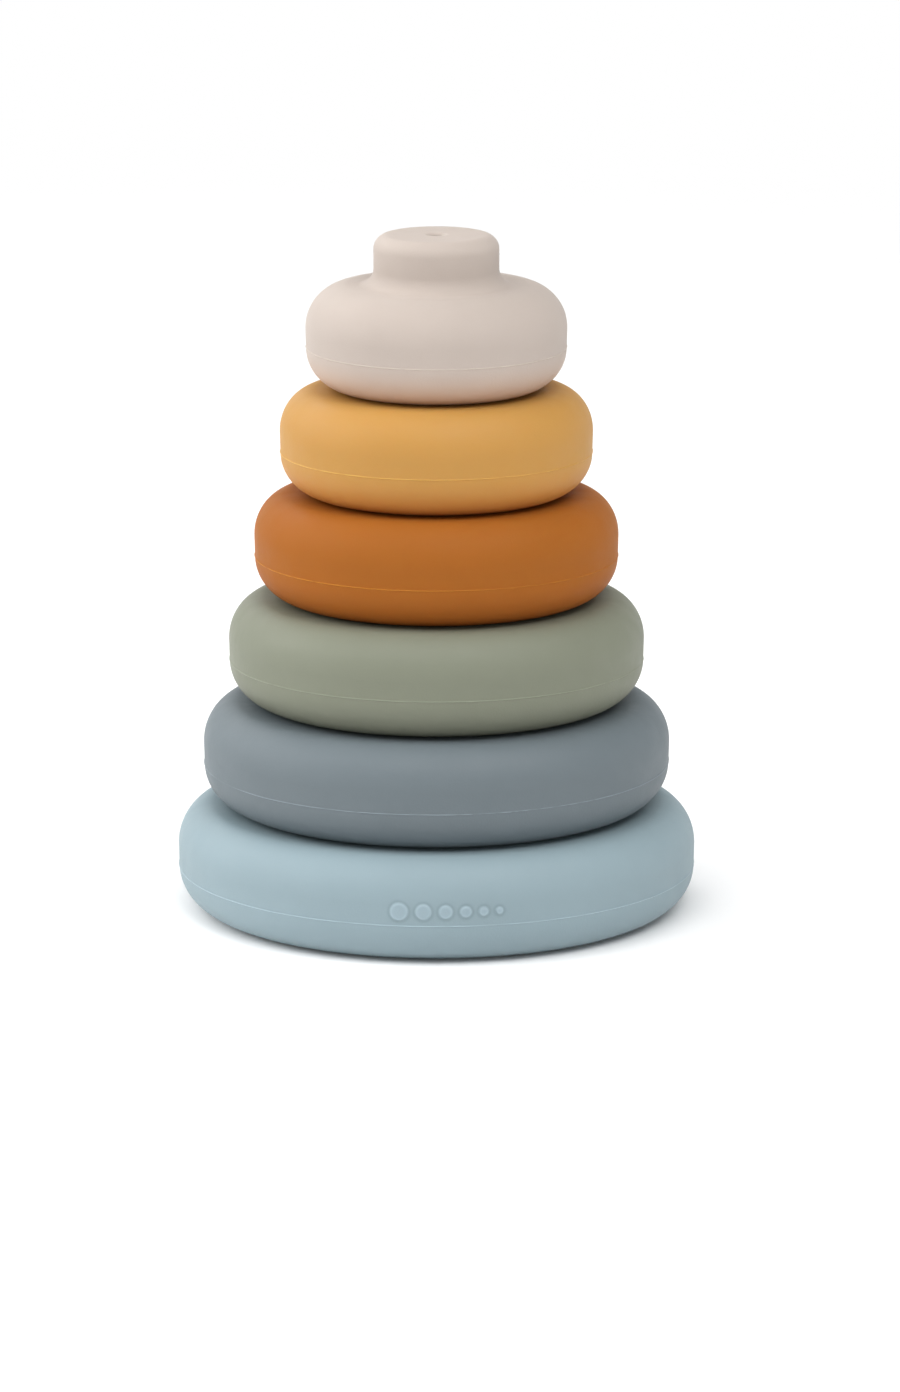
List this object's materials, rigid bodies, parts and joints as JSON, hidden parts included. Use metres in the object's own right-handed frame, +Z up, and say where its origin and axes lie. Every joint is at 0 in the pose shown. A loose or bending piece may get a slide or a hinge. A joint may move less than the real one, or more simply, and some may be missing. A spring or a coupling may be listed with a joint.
{
  "type": "stacking ring toy",
  "caption": "Tower of soft round discs that shrink towards the top, each with a stud that fits a socket under the next; they lift off one by one.",
  "frame": {"origin": "centre of the base's flat underside, where the tower stands", "axes": "+Z up along the axis that all the discs share; -Y towards the front, where the base has its row of raised dots"},
  "size_m": [0.1, 0.1003, 0.1311],
  "materials": {
    "pale_blue_silicone": "matte moulded silicone, pale blue",
    "blue_grey_silicone": "matte moulded silicone, blue-grey",
    "sage_silicone": "matte moulded silicone, sage green",
    "caramel_silicone": "matte moulded silicone, caramel orange",
    "ochre_silicone": "matte moulded silicone, ochre yellow",
    "sand_silicone": "matte moulded silicone, sand"
  },
  "bodies": {
    "base_ring": {"base_ring": "pale_blue_silicone"},
    "ring_blue_grey": {"ring_blue_grey": "blue_grey_silicone"},
    "ring_sage": {"ring_sage": "sage_silicone"},
    "ring_caramel": {"ring_caramel": "caramel_silicone"},
    "ring_ochre": {"ring_ochre": "ochre_silicone"},
    "top_ring": {"top_ring": "sand_silicone"}
  },
  "joints": [
    {"name": "blue_grey_lift", "type": "slide", "parent": "base_ring", "child": "ring_blue_grey", "axis": [0, 0, 1], "range_m": [0, 0.01]},
    {"name": "sage_lift", "type": "slide", "parent": "ring_blue_grey", "child": "ring_sage", "axis": [0, 0, 1], "range_m": [0, 0.01]},
    {"name": "caramel_lift", "type": "slide", "parent": "ring_sage", "child": "ring_caramel", "axis": [0, 0, 1], "range_m": [0, 0.01]},
    {"name": "ochre_lift", "type": "slide", "parent": "ring_caramel", "child": "ring_ochre", "axis": [0, 0, 1], "range_m": [0, 0.01]},
    {"name": "top_lift", "type": "slide", "parent": "ring_ochre", "child": "top_ring", "axis": [0, 0, 1], "range_m": [0, 0.01]}
  ]
}
